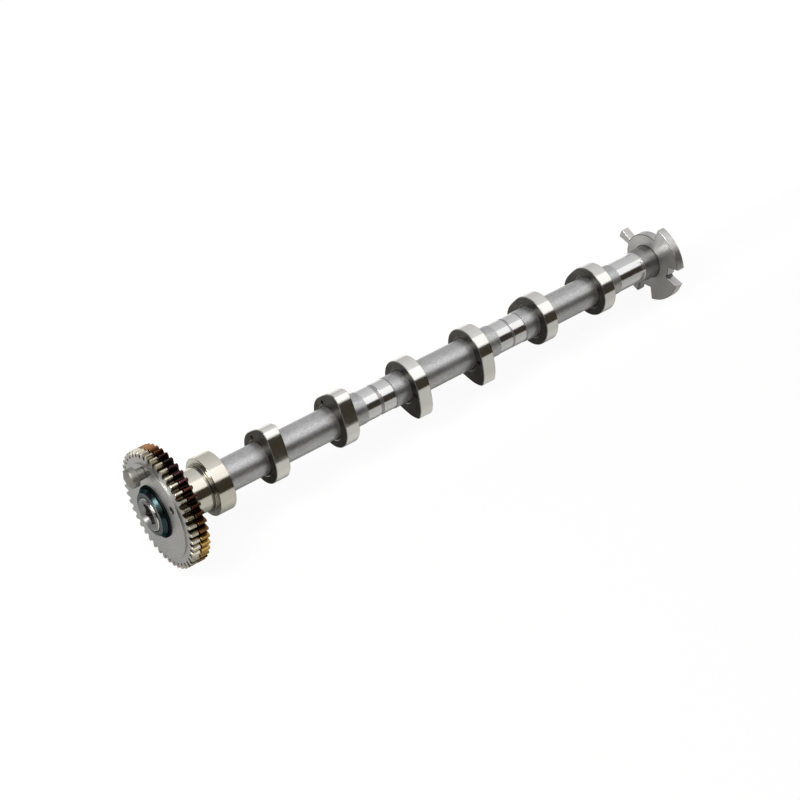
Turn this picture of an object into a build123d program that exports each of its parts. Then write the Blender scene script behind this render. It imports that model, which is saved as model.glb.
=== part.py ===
from build123d import *
import math
import os

# Camshaft of one bank of a V6, all in mm.  X runs along the shaft from the gear end to the sensor end, +Z is up.
# The origin is on the shaft's axis, in the plane of the thrust collar's front face.
# Angles are in degrees about +X, from +Y towards +Z.

# --- what the engine sets ---
BORE_PITCH = 106.0          # from one cylinder to the next
VALVE_PITCH = 51.1          # between the two lobes of a cylinder
FIRST_LOBE_X = 44.9         # thrust face to the middle of the first lobe
FIRST_JOURNAL_X = 124.0     # thrust face to the middle of the first tube journal
CYLINDERS = 3

# --- tube ---
TUBE_R = 10.3
TUBE_WALL = 2.9
JOURNAL_GRIND = 0.3         # ground off the tube's radius at each journal
JOURNAL_W = 21.9
MID_GROOVE_W = (2.6, 1.8)   # oil groove round the middle of the first two journals
MID_GROOVE_DEPTH = 0.25
END_GROOVE_W = 0.7          # grinding relief at the far end of each journal
END_GROOVE_DEPTH = 0.2
EDGE_BREAK = 0.2

# --- lobes ---
LOBE_W = 9.8
BASE_R = 16.75
LIFT = 6.0
NOSE_R = 4.6
NOSE_HALF_ANGLE = 28.0      # the nose arc runs this far to each side
SHOULDER_R = 20.0
FLANK_R = 80.0
FIRST_NOSE_ANGLE = 100.6
NOSE_STEP = 120.0
LOBE_CHAMFER = 0.4
FACE_RECESS_W = 1.3         # shallow turned step round the bore
FACE_RECESS_DEPTH = 0.3
INDEX_DIMPLE_R = 1.3
INDEX_DIMPLE_DEPTH = 0.9
INDEX_DIMPLE_OUT = 3.0      # bore to the dimple's middle
INDEX_DIMPLE_BEFORE_NOSE = 45.6

# --- front end piece: nose, front journal, thrust collar ---
NOSE_END_X = -37.6
NOSE_OUT_R = 10.3
NOSE_CHAMFER = 1.1
HUB_R = 13.7
HUB_SHOULDER_X = -19.6
RELIEF_W = 0.8
RELIEF_DEPTH = 0.3
STEP_R = 15.2
STEP_W = 1.6
COLLAR_R = 18.4
COLLAR_W = 10.7
COLLAR_CHAMFER = 0.5
COLLAR_RECESS_GAP = 1.1     # round the tube's end, which sits in a shallow recess of the collar
COLLAR_RECESS_DEPTH = 0.4
SPIGOT_L = 12.0
SPIGOT_CHAMFER = 0.6
OIL_BORE_R = 3.2
HEX_ACROSS_FLATS = 12.4
HEX_DEPTH = 8.0
HEX_FLAT_ANGLE = 290.0
MOUTH_R = 8.8

# --- gears ---
TEETH = 44
MODULE = 1.6
PRESSURE_ANGLE = 20.0
TOOTH_PHASE = 6.0           # middle of a tooth
TOOTH_CHAMFER = 0.35
FLANK_POINTS = 5
MAIN_FACE_W = 5.7
GEAR_GAP = 0.8              # between the two toothed rims
BACKLASH_FACE_W = 4.9
SEAT_INSIDE_ROOT = 3.7      # inside this seat the gears lie face to face
PLATE_INSIDE_ROOT = 3.5
PLATE_RAISE = 0.9
PLATE_CHAMFER = 0.3
CARRIER_R = 14.4            # the backlash gear turns on this hub of the main gear
RUNNING_GAP = 0.05
END_FLOAT = 0.1
TOOL_HOLE_R = 2.3
TOOL_HOLE_WALL = 0.5        # between the hole and the spring's pocket
TOOL_HOLE_ANGLE = 142.4

# --- ring spring between the gears ---
SPRING_AROUND = 2.1         # carrier to the spring's inside
SPRING_W = 3.5
SPRING_T = 2.6
SPRING_POCKET_GAP = 0.6
STOP_PIN_R = 1.6
STOP_PIN_SPREAD = 24.0
STOP_PIN_MIDDLE = 250.0
STOP_PIN_BITE = 2.9

# --- washer and retaining ring ---
WASHER_LAP = 1.8            # how far the washer reaches over the backlash gear
WASHER_T = 1.0
WASHER_BORE_GAP = 0.1
RING_BASE_R = 14.9
RING_TOP_R = 13.5
RING_BASE_T = 0.7
RING_T = 3.3
RING_TOP_BREAK = 0.5

# --- locking pin ---
PIN_WALL = 1.85             # between the pin's bore and the spring's pocket
PIN_ANGLE = 67.5
PIN_TIP_R = 2.25
PIN_STEM_R = 3.6
PIN_STEM_L = 5.2
PIN_HEAD_R = 6.0
PIN_HEAD_L = 5.0
PIN_HEAD_CHAMFER = 1.0
PIN_EDGE_BREAK = 0.5
PIN_INTO_MAIN = 3.8

# --- sensor wheel ---
WHEEL_BEHIND_JOURNAL = 0.45 # last journal to the boss's front end
WHEEL_T = 6.3
WHEEL_R = 28.2
WHEEL_ROOT_R = 19.3
FIRST_VANE_ANGLE = 11.5
VANE_WIDTHS = (12.5, 64.5, 63.0, 12.5)
VANE_CHAMFER = 0.4
ROOT_ROUND = 0.9
FIXTURE_NOTCH_R = 1.5
FIXTURE_NOTCH_BEFORE_VANE = 4.0
BOSS_WALL = 0.9             # of the boss round the tube
BOSS_L = 11.3
BOSS_TAPER_L = 4.0
FACE_GROOVE_W = 0.8         # annular groove of the wheel's face round the boss
FACE_GROOVE_DEPTH = 1.0

# --- rear end ---
TUBE_PROUD = 1.0
PLUG_SUNK = 1.5
PLUG_L = 5.0
PLUG_WALL = 1.2

# --- follows from the above ---
TUBE_BORE_R = TUBE_R - TUBE_WALL
JOURNAL_R = TUBE_R - JOURNAL_GRIND
TUBE_FRONT_X = COLLAR_W - COLLAR_RECESS_DEPTH
COLLAR_RECESS_R = TUBE_R + COLLAR_RECESS_GAP
FACE_RECESS_R = TUBE_R + FACE_RECESS_W
INDEX_DIMPLE_AT = TUBE_R + INDEX_DIMPLE_OUT
LAST_JOURNAL_END_X = FIRST_JOURNAL_X + (CYLINDERS - 1) * BORE_PITCH + JOURNAL_W / 2
WHEEL_FACE_X = LAST_JOURNAL_END_X + WHEEL_BEHIND_JOURNAL + BOSS_L
BOSS_R = TUBE_R + BOSS_WALL
FACE_GROOVE_R = BOSS_R + FACE_GROOVE_W
WHEEL_BACK_X = WHEEL_FACE_X + WHEEL_T
TUBE_REAR_X = WHEEL_BACK_X + TUBE_PROUD
MAIN_RIM_X = HUB_SHOULDER_X - MAIN_FACE_W
SEAT_X = MAIN_RIM_X - GEAR_GAP
BACKLASH_FRONT_X = SEAT_X - BACKLASH_FACE_W
PLATE_X = BACKLASH_FRONT_X - PLATE_RAISE
CARRIER_END_X = PLATE_X + END_FLOAT
RING_BACK_X = PLATE_X - WASHER_T
PITCH_R = MODULE * TEETH / 2
TIP_R = PITCH_R + MODULE
ROOT_R = PITCH_R - 1.25 * MODULE
SEAT_R = ROOT_R - SEAT_INSIDE_ROOT
PLATE_R = ROOT_R - PLATE_INSIDE_ROOT
SPRING_IN_R = CARRIER_R + SPRING_AROUND
SPRING_OUT_R = SPRING_IN_R + SPRING_W
WASHER_R = CARRIER_R + WASHER_LAP
POCKET_IN_R = SPRING_IN_R - SPRING_POCKET_GAP
POCKET_OUT_R = SPRING_OUT_R + SPRING_POCKET_GAP
POCKET_FLOOR_X = SEAT_X + SPRING_T + SPRING_POCKET_GAP
STOP_PIN_AT = (SPRING_IN_R + SPRING_OUT_R) / 2
TOOL_HOLE_AT = POCKET_OUT_R + TOOL_HOLE_WALL + TOOL_HOLE_R
PIN_AT = POCKET_OUT_R + PIN_WALL + PIN_TIP_R


def cross_plane(x):
    """The plane across the shaft at x, with its own x along +Y and y along +Z."""
    return Plane.YZ.offset(x)


def polar(r, angle):
    return (r * math.cos(math.radians(angle)), r * math.sin(math.radians(angle)))


def turned(*profile):
    """A solid of revolution about the shaft's axis, from (x, r) corners."""
    outline = make_face(Polyline(*profile, close=True))
    return revolve(outline, Axis.X, 360)


def rod(x0, x1, r, at=0.0, angle=0.0):
    """A round bar along X from x0 to x1, its axis at radius at and the given angle."""
    return extrude(cross_plane(x0) * Pos(*polar(at, angle)) * Circle(r), x1 - x0)


def headed_rod(at, angle, *profile):
    """A turned bar like turned(), moved to radius at and the given angle."""
    y, z = polar(at, angle)
    return Pos(0, y, z) * turned(*profile)


def shaft_tube():
    """Hollow tube with three ground journals, the first two with an oil groove."""
    profile = [(TUBE_FRONT_X, TUBE_BORE_R), (TUBE_FRONT_X, TUBE_R - EDGE_BREAK)]
    profile.append((TUBE_FRONT_X + EDGE_BREAK, TUBE_R))
    for k in range(CYLINDERS):
        middle = FIRST_JOURNAL_X + k * BORE_PITCH
        start = middle - JOURNAL_W / 2
        end = middle + JOURNAL_W / 2
        profile.append((start - EDGE_BREAK, TUBE_R))
        profile.append((start, JOURNAL_R))
        if k < len(MID_GROOVE_W):
            half = MID_GROOVE_W[k] / 2
            floor = JOURNAL_R - MID_GROOVE_DEPTH
            profile.append((middle - half, JOURNAL_R))
            profile.append((middle - half + EDGE_BREAK, floor))
            profile.append((middle + half - EDGE_BREAK, floor))
            profile.append((middle + half, JOURNAL_R))
        profile.append((end - END_GROOVE_W, JOURNAL_R))
        profile.append((end - END_GROOVE_W, JOURNAL_R - END_GROOVE_DEPTH))
        profile.append((end, JOURNAL_R - END_GROOVE_DEPTH))
        profile.append((end + EDGE_BREAK, TUBE_R))
    profile.append((TUBE_REAR_X - EDGE_BREAK, TUBE_R))
    profile.append((TUBE_REAR_X, TUBE_R - EDGE_BREAK))
    profile.append((TUBE_REAR_X, TUBE_BORE_R))
    return turned(*profile)


def lobe_outline():
    """Cam outline with its nose along local x: base circle, then flank, shoulder and nose arcs, tangent at every join.

    Each arc touches the next from inside, so both centres lie on the line through the join.
    """
    reach = BASE_R + LIFT - NOSE_R
    u, v = polar(SHOULDER_R - NOSE_R, NOSE_HALF_ANGLE)
    sx, sy = reach - u, -v
    gap = FLANK_R - SHOULDER_R
    k = (sx ** 2 + sy ** 2 + gap ** 2 - (FLANK_R - BASE_R) ** 2) / (2 * gap)
    join = math.degrees(math.acos(k / math.hypot(sx, sy)) - math.atan2(-sy, sx))
    u, v = polar(gap, join)
    fx, fy = sx - u, sy - v
    foot = math.degrees(math.atan2(-fy, -fx))

    def on_arc(cx, cy, r, angle, side):
        u, v = polar(r, angle)
        return (cx + u, side * (cy + v))

    def half(side):
        """Points from the base circle to the nose on one side: ends and middles of flank and shoulder."""
        return [
            on_arc(fx, fy, FLANK_R, foot, side),
            on_arc(fx, fy, FLANK_R, (foot + join) / 2, side),
            on_arc(fx, fy, FLANK_R, join, side),
            on_arc(sx, sy, SHOULDER_R, (join + NOSE_HALF_ANGLE) / 2, side),
            on_arc(sx, sy, SHOULDER_R, NOSE_HALF_ANGLE, side),
        ]

    low, high = half(-1), half(1)
    edges = [
        ThreePointArc(high[0], (-BASE_R, 0), low[0]),
        ThreePointArc(low[0], low[1], low[2]),
        ThreePointArc(low[2], low[3], low[4]),
        ThreePointArc(low[4], (reach + NOSE_R, 0), high[4]),
        ThreePointArc(high[4], high[3], high[2]),
        ThreePointArc(high[2], high[1], high[0]),
    ]
    return make_face(edges)


def cam_lobe(middle, nose_angle):
    """One lobe on the tube, its edges broken, with the turned step and index dimple of its front face."""
    front = middle - LOBE_W / 2
    back = middle + LOBE_W / 2
    body = extrude(cross_plane(front) * Rot(0, 0, nose_angle) * lobe_outline(), LOBE_W)
    body = chamfer(body.edges().group_by(Axis.X)[0] + body.edges().group_by(Axis.X)[-1], LOBE_CHAMFER)
    body -= rod(front - 1, back + 1, TUBE_R)
    body -= rod(front - 1, front + FACE_RECESS_DEPTH, FACE_RECESS_R)
    angle = nose_angle - INDEX_DIMPLE_BEFORE_NOSE
    body -= rod(front - 1, front + INDEX_DIMPLE_DEPTH, INDEX_DIMPLE_R, INDEX_DIMPLE_AT, angle)
    return body


def front_end_piece():
    """Nose with a hexagon socket, gear seat, front journal, thrust collar and the spigot pressed into the tube."""
    relief = HUB_R - RELIEF_DEPTH
    spigot_end = TUBE_FRONT_X + SPIGOT_L
    body = turned(
        (NOSE_END_X, 0),
        (NOSE_END_X, NOSE_OUT_R - NOSE_CHAMFER),
        (NOSE_END_X + NOSE_CHAMFER, NOSE_OUT_R),
        (HUB_SHOULDER_X, NOSE_OUT_R),
        (HUB_SHOULDER_X, relief),
        (HUB_SHOULDER_X + RELIEF_W, relief),
        (HUB_SHOULDER_X + RELIEF_W, HUB_R),
        (-STEP_W - RELIEF_W, HUB_R),
        (-STEP_W - RELIEF_W, relief),
        (-STEP_W, relief),
        (-STEP_W, STEP_R - EDGE_BREAK),
        (-STEP_W + EDGE_BREAK, STEP_R),
        (0, STEP_R),
        (0, COLLAR_R - COLLAR_CHAMFER),
        (COLLAR_CHAMFER, COLLAR_R),
        (COLLAR_W - COLLAR_CHAMFER, COLLAR_R),
        (COLLAR_W, COLLAR_R - COLLAR_CHAMFER),
        (COLLAR_W, COLLAR_RECESS_R),
        (TUBE_FRONT_X, COLLAR_RECESS_R),
        (TUBE_FRONT_X, TUBE_BORE_R),
        (spigot_end - SPIGOT_CHAMFER, TUBE_BORE_R),
        (spigot_end, TUBE_BORE_R - SPIGOT_CHAMFER),
        (spigot_end, 0),
    )
    hex_corner = HEX_ACROSS_FLATS / math.sqrt(3)
    socket_plane = cross_plane(NOSE_END_X) * Rot(0, 0, HEX_FLAT_ANGLE + 30)
    body -= extrude(socket_plane * RegularPolygon(hex_corner, 6), HEX_DEPTH)
    body -= rod(NOSE_END_X, spigot_end + 1, OIL_BORE_R)
    mouth_l = MOUTH_R - HEX_ACROSS_FLATS / 2
    body -= turned(
        (NOSE_END_X, 0),
        (NOSE_END_X, MOUTH_R),
        (NOSE_END_X + mouth_l, MOUTH_R - mouth_l),
        (NOSE_END_X + mouth_l, 0),
    )
    return body


def gear_outline():
    """Spur gear outline: involute flanks, round tip and root lands."""
    base_r = PITCH_R * math.cos(math.radians(PRESSURE_ANGLE))
    start_r = max(ROOT_R, base_r * 1.0005)

    def involute(r):
        a = math.acos(base_r / r)
        return math.degrees(math.tan(a) - a)

    def half_tooth(r):
        return 90.0 / TEETH + involute(PITCH_R) - involute(r)

    radii = [start_r + (TIP_R - start_r) * i / (FLANK_POINTS - 1) for i in range(FLANK_POINTS)]
    step = 360.0 / TEETH
    edges = []
    for k in range(TEETH):
        c = TOOTH_PHASE + k * step
        up = [polar(r, c - half_tooth(r)) for r in radii]
        down = [polar(r, c + half_tooth(r)) for r in reversed(radii)]
        foot_a, foot_b = up[0], down[-1]
        if start_r > ROOT_R:
            foot_a = polar(ROOT_R, c - half_tooth(start_r))
            foot_b = polar(ROOT_R, c + half_tooth(start_r))
            edges.append(Line(foot_a, up[0]))
        edges.append(Spline(*up))
        edges.append(ThreePointArc(up[-1], polar(TIP_R, c), down[0]))
        edges.append(Spline(*down))
        if start_r > ROOT_R:
            edges.append(Line(down[-1], foot_b))
        next_foot = polar(ROOT_R if start_r > ROOT_R else start_r, c + step - half_tooth(start_r))
        edges.append(ThreePointArc(foot_b, polar(ROOT_R, c + step / 2), next_foot))
    return make_face(edges)


def toothed_disc(outline, x0, x1):
    """A toothed rim from x0 to x1 with its tooth edges chamfered at both faces."""
    blank = turned(
        (x0, 0),
        (x0, TIP_R - TOOTH_CHAMFER),
        (x0 + TOOTH_CHAMFER, TIP_R),
        (x1 - TOOTH_CHAMFER, TIP_R),
        (x1, TIP_R - TOOTH_CHAMFER),
        (x1, 0),
    )
    return extrude(cross_plane(x0) * outline, x1 - x0) & blank


def main_gear(outline):
    """Rear gear, pressed on the nose, with the hub that carries the backlash gear and the spring's pocket."""
    body = toothed_disc(outline, MAIN_RIM_X, HUB_SHOULDER_X)
    body += rod(SEAT_X, MAIN_RIM_X, SEAT_R)
    body += rod(CARRIER_END_X, SEAT_X, CARRIER_R)
    body -= rod(CARRIER_END_X - 1, HUB_SHOULDER_X + 1, NOSE_OUT_R)
    pocket = rod(SEAT_X, POCKET_FLOOR_X, POCKET_OUT_R) - rod(SEAT_X - 1, POCKET_FLOOR_X + 1, POCKET_IN_R)
    body -= pocket
    body -= rod(SEAT_X - 1, SEAT_X + PIN_INTO_MAIN + RUNNING_GAP * 2, PIN_TIP_R + RUNNING_GAP, PIN_AT, PIN_ANGLE)
    stop = STOP_PIN_MIDDLE - STOP_PIN_SPREAD / 2
    body -= rod(POCKET_FLOOR_X - 0.1, POCKET_FLOOR_X + STOP_PIN_BITE, STOP_PIN_R, STOP_PIN_AT, stop)
    return body


def backlash_gear(outline):
    """Front gear with its raised face plate, bored for the carrier hub, the locking pin and the tool hole."""
    body = toothed_disc(outline, BACKLASH_FRONT_X, SEAT_X)
    body += turned(
        (BACKLASH_FRONT_X, 0),
        (BACKLASH_FRONT_X, PLATE_R),
        (PLATE_X + PLATE_CHAMFER, PLATE_R),
        (PLATE_X, PLATE_R - PLATE_CHAMFER),
        (PLATE_X, 0),
    )
    body -= rod(PLATE_X - 1, SEAT_X + 1, CARRIER_R + RUNNING_GAP)
    body -= rod(PLATE_X - 1, SEAT_X + 1, PIN_TIP_R + RUNNING_GAP, PIN_AT, PIN_ANGLE)
    body -= rod(PLATE_X - 1, SEAT_X + 1, TOOL_HOLE_R, TOOL_HOLE_AT, TOOL_HOLE_ANGLE)
    stop = STOP_PIN_MIDDLE + STOP_PIN_SPREAD / 2
    body -= rod(SEAT_X - STOP_PIN_BITE, SEAT_X + 1, STOP_PIN_R, STOP_PIN_AT, stop)
    return body


def ring_spring():
    """Open ring of flat section; each end face bears on a stop pin."""
    lean = math.degrees(math.asin(STOP_PIN_R / STOP_PIN_AT))
    gap = STOP_PIN_SPREAD + 2 * lean
    ring = rod(POCKET_FLOOR_X - SPRING_T, POCKET_FLOOR_X, SPRING_OUT_R)
    ring -= rod(POCKET_FLOOR_X - SPRING_T - 1, POCKET_FLOOR_X + 1, SPRING_IN_R)
    far = 2 * SPRING_OUT_R
    start = STOP_PIN_MIDDLE - gap / 2
    end = STOP_PIN_MIDDLE + gap / 2
    wedge = make_face(Polyline((0, 0), polar(far, start), polar(far, end), close=True))
    return ring - extrude(cross_plane(POCKET_FLOOR_X - SPRING_T - 1) * wedge, SPRING_T + 2)


def main_stop_pin():
    angle = STOP_PIN_MIDDLE - STOP_PIN_SPREAD / 2
    return rod(SEAT_X + RUNNING_GAP * 4, POCKET_FLOOR_X + STOP_PIN_BITE, STOP_PIN_R, STOP_PIN_AT, angle)


def backlash_stop_pin():
    angle = STOP_PIN_MIDDLE + STOP_PIN_SPREAD / 2
    return rod(SEAT_X - STOP_PIN_BITE, POCKET_FLOOR_X - RUNNING_GAP * 4, STOP_PIN_R, STOP_PIN_AT, angle)


def friction_washer():
    """Flat washer that the retaining ring holds against the backlash gear."""
    bore = NOSE_OUT_R + WASHER_BORE_GAP
    return turned(
        (PLATE_X, bore),
        (PLATE_X, WASHER_R - EDGE_BREAK),
        (PLATE_X - EDGE_BREAK, WASHER_R),
        (RING_BACK_X + EDGE_BREAK, WASHER_R),
        (RING_BACK_X, WASHER_R - EDGE_BREAK),
        (RING_BACK_X, bore),
    )


def retaining_ring():
    """Coned ring pressed on the nose in front of the washer."""
    front = RING_BACK_X - RING_T
    return turned(
        (RING_BACK_X, NOSE_OUT_R),
        (RING_BACK_X, RING_BASE_R),
        (RING_BACK_X - RING_BASE_T, RING_BASE_R),
        (front + RING_TOP_BREAK, RING_TOP_R),
        (front, RING_TOP_R - RING_TOP_BREAK),
        (front, NOSE_OUT_R),
    )


def locking_pin():
    """Headed pin that stands out of the backlash gear and holds the two gears tooth to tooth."""
    shoulder = PLATE_X
    head_back = shoulder - PIN_STEM_L
    head_front = head_back - PIN_HEAD_L
    tip = SEAT_X + PIN_INTO_MAIN
    return headed_rod(
        PIN_AT,
        PIN_ANGLE,
        (head_front, 0),
        (head_front, PIN_HEAD_R - PIN_HEAD_CHAMFER),
        (head_front + PIN_HEAD_CHAMFER, PIN_HEAD_R),
        (head_back - EDGE_BREAK, PIN_HEAD_R),
        (head_back, PIN_HEAD_R - EDGE_BREAK),
        (head_back, PIN_STEM_R),
        (shoulder, PIN_STEM_R),
        (shoulder, PIN_TIP_R),
        (tip - PIN_EDGE_BREAK, PIN_TIP_R),
        (tip, PIN_TIP_R - PIN_EDGE_BREAK),
        (tip, 0),
    )


def vane(start, width):
    """A sector from inside the root disc out to the wheel's rim."""
    inside = WHEEL_ROOT_R / 2
    end = start + width
    edges = [
        Line(polar(inside, start), polar(WHEEL_R, start)),
        ThreePointArc(polar(WHEEL_R, start), polar(WHEEL_R, start + width / 2), polar(WHEEL_R, end)),
        Line(polar(WHEEL_R, end), polar(inside, end)),
        Line(polar(inside, end), polar(inside, start)),
    ]
    return make_face(edges)


def sensor_wheel():
    """Trigger wheel: two wide and two narrow vanes whose leading edges are a quarter turn apart, on a turned boss."""
    outline = Circle(WHEEL_ROOT_R)
    for k, width in enumerate(VANE_WIDTHS):
        outline += vane(FIRST_VANE_ANGLE + 90 * k, width)
    disc = extrude(cross_plane(WHEEL_FACE_X) * outline, WHEEL_T)
    corners = disc.edges().filter_by(Axis.X)
    inner = [e for e in corners if math.hypot(e.center().Y, e.center().Z) < WHEEL_ROOT_R + 0.5]
    disc = fillet(inner, ROOT_ROUND)
    rim_blank = turned(
        (WHEEL_FACE_X, 0),
        (WHEEL_FACE_X, WHEEL_R - VANE_CHAMFER),
        (WHEEL_FACE_X + VANE_CHAMFER, WHEEL_R),
        (WHEEL_BACK_X - VANE_CHAMFER, WHEEL_R),
        (WHEEL_BACK_X, WHEEL_R - VANE_CHAMFER),
        (WHEEL_BACK_X, 0),
    )
    disc &= rim_blank
    notch = FIRST_VANE_ANGLE + 180 - FIXTURE_NOTCH_BEFORE_VANE
    disc -= rod(WHEEL_FACE_X - 1, WHEEL_BACK_X + 1, FIXTURE_NOTCH_R, WHEEL_ROOT_R, notch)
    boss_start = WHEEL_FACE_X - BOSS_L
    boss = turned(
        (boss_start, 0),
        (boss_start, TUBE_R + EDGE_BREAK / 2),
        (boss_start + BOSS_TAPER_L, BOSS_R),
        (WHEEL_FACE_X + FACE_GROOVE_DEPTH, BOSS_R),
        (WHEEL_FACE_X + FACE_GROOVE_DEPTH, 0),
    )
    disc -= rod(WHEEL_FACE_X - 1, WHEEL_FACE_X + FACE_GROOVE_DEPTH, FACE_GROOVE_R)
    return disc + boss - rod(boss_start - 1, WHEEL_BACK_X + 1, TUBE_R)


def rear_plug():
    """Pressed cup that closes the tube's rear end."""
    back = TUBE_REAR_X - PLUG_SUNK
    front = back - PLUG_L
    inner = TUBE_BORE_R - PLUG_WALL
    return turned(
        (front, 0),
        (front, TUBE_BORE_R - EDGE_BREAK),
        (front + EDGE_BREAK, TUBE_BORE_R),
        (back, TUBE_BORE_R),
        (back, inner),
        (front + PLUG_WALL, inner),
        (front + PLUG_WALL, 0),
    )


def build():
    outline = gear_outline()
    nodes = {
        "shaft_tube": shaft_tube(),
        "front_end_piece": front_end_piece(),
        "main_gear": main_gear(outline),
        "backlash_gear": backlash_gear(outline),
        "ring_spring": ring_spring(),
        "main_stop_pin": main_stop_pin(),
        "backlash_stop_pin": backlash_stop_pin(),
        "friction_washer": friction_washer(),
        "retaining_ring": retaining_ring(),
        "locking_pin": locking_pin(),
        "sensor_wheel": sensor_wheel(),
        "rear_plug": rear_plug(),
    }
    for k in range(2 * CYLINDERS):
        cylinder, valve = divmod(k, 2)
        middle = FIRST_LOBE_X + cylinder * BORE_PITCH + valve * VALVE_PITCH
        nodes[f"cam_lobe_{k + 1}"] = cam_lobe(middle, FIRST_NOSE_ANGLE + cylinder * NOSE_STEP)
    return nodes


os.makedirs("parts", exist_ok=True)
for name, solid in build().items():
    export_step(solid, f"parts/{name}.step")
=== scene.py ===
import math

import bpy
import bmesh
from mathutils import Matrix, Vector
from mathutils.geometry import tessellate_polygon

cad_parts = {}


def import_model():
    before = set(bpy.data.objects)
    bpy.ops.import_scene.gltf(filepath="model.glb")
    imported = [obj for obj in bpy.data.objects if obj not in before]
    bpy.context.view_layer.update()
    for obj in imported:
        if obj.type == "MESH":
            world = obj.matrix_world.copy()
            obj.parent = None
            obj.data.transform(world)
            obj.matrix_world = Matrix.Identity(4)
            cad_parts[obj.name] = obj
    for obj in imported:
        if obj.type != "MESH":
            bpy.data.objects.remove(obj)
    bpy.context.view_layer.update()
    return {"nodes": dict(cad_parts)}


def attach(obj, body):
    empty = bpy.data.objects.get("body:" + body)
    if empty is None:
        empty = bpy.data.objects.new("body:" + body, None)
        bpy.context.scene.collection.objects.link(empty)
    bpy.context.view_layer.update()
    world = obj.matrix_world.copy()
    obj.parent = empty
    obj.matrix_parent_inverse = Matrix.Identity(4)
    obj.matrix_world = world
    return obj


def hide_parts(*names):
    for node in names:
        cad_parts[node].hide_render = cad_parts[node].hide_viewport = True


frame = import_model()

# ------------------------------------------------------------------ sizes

# Sizes are in mm and repeat the CAD model's.  X runs along the shaft from the gear end, +Z is up,
# and angles are in degrees about +X from +Y towards +Z.
MM = 0.001

# shaft tube
TUBE_R, TUBE_BORE_R, JOURNAL_R = 10.3, 7.4, 10.0
TUBE_FRONT_X, TUBE_REAR_X = 10.3, 366.0
JOURNALS = ((124.0, 1.3), (230.0, 0.9), (336.0, 0.0))  # middle, half the width of the oil groove
JOURNAL_HALF_W = 10.95
JOURNAL_RAMP_W = 0.25
OIL_GROOVE_DEPTH, OIL_GROOVE_SLOPE_W = 0.25, 0.2
END_RELIEF_W, END_RELIEF_DEPTH = 0.7, 0.2
END_RELIEF_SLOPE_W, END_RELIEF_RAMP_W = 0.1, 0.2

# cam lobes
LOBE_MIDDLES = (44.9, 96.0, 150.9, 202.0, 256.9, 308.0)
LOBE_NOSES = (100.6, 100.6, 220.6, 220.6, 340.6, 340.6)
LOBE_W, BASE_R, LIFT = 9.8, 16.75, 6.0
NOSE_R, SHOULDER_R, FLANK_R = 4.6, 20.0, 80.0
NOSE_HALF_ANGLE = math.radians(28)
LOBE_EDGE = ((0.0, 0.42), (0.06, 0.24), (0.24, 0.06), (0.42, 0.0))  # from the face, inwards
FACE_STEP_LIP_R, FACE_STEP_R, FACE_STEP_FOOT_R = 11.85, 11.6, 11.5
FACE_STEP_DEPTH, FACE_STEP_LIP_DEPTH = 0.3, 0.2
DIMPLE_R, DIMPLE_TAPER, DIMPLE_DEPTH = 1.55, 0.5, 0.9
DIMPLE_START = 0.5          # how far ahead of the face its taper starts
DIMPLE_AT, DIMPLE_BEFORE_NOSE = 13.3, 45.6

# front end piece
NOSE_END_X, SHOULDER_X = -37.6, -19.6
NOSE_OUT_R, HUB_R, STEP_R, COLLAR_R = 10.3, 13.7, 15.2, 18.4
STEP_W, COLLAR_W, COLLAR_RECESS_R = 1.6, 10.7, 11.4
NOSE_CHAMFER, HUB_RELIEF_W, HUB_RELIEF_DEPTH, HUB_RELIEF_SLOPE_W = 1.1, 0.8, 0.3, 0.15
STEP_RELIEF_W = 0.9
MOUTH_R, MOUTH_FACE_R = 8.8, 9.2
MOUTH_FOOT_X, MOUTH_FOOT_R = -35.0, 6.2
HEX_ACROSS_FLATS, HEX_FIRST_CORNER, HEX_CORNER_ROUND, HEX_FLOOR_X = 12.4, 320, 0.5, -29.6
SOCKET_FOOT_X, SOCKET_FOOT_R, OIL_BORE_START_X, OIL_BORE_R = -29.0, 5.7, -28.2, 3.2
SPIGOT_L = 12.0

# gears
TEETH, MODULE, FIRST_TOOTH_ANGLE, PRESSURE_ANGLE = 44, 1.6, 6.0, 20
PITCH_R = MODULE * TEETH / 2
TIP_R, ROOT_R = PITCH_R + MODULE, PITCH_R - 1.25 * MODULE
FLANK_SHARES = (0, 0.3, 0.55, 0.8, 1)     # of the way from root to tip
ROOT_FILLET, TIP_ROUND = 0.45, 0.16
TOOTH_EDGE_BREAK, TIP_CHAMFER, TIP_BAND = 0.14, 0.2, 0.5
MAIN_RIM_X, SEAT_X, FRONT_RIM_X, PLATE_X = -25.3, -26.1, -31.0, -31.9
CARRIER_R, SEAT_R, PLATE_R, PLATE_CHAMFER = 14.4, 29.5, 29.7, 0.42
FRONT_RIM_IN_R, MAIN_RIM_IN_R = 30.4, 31.0
RUNNING_GAP, END_FLOAT, SEAT_GAP = 0.05, 0.1, 0.01
TOOL_HOLE_R, TOOL_HOLE_AT, TOOL_HOLE_ANGLE = 2.3, 23.4, 142.4
TOOL_HOLE_EDGE_R, TOOL_HOLE_EDGE_TAPER, TOOL_HOLE_EDGE_DEPTH = 2.75, 0.45, 0.25

# washer and retaining ring
WASHER_T, WASHER_R, WASHER_BORE_R = 1.0, 16.2, 10.4
RING_T, RING_BASE_T, RING_BASE_R = 3.3, 0.7, 14.9
RING_TOP_R, RING_TOP_CHAMFER_L, RING_TOP_FACE_R = 13.5, 0.45, 13.0
RING_BORE_CHAMFER, RING_BORE_CHAMFER_L = 0.45, 0.5
RING_BACK_X = PLATE_X - WASHER_T

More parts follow.
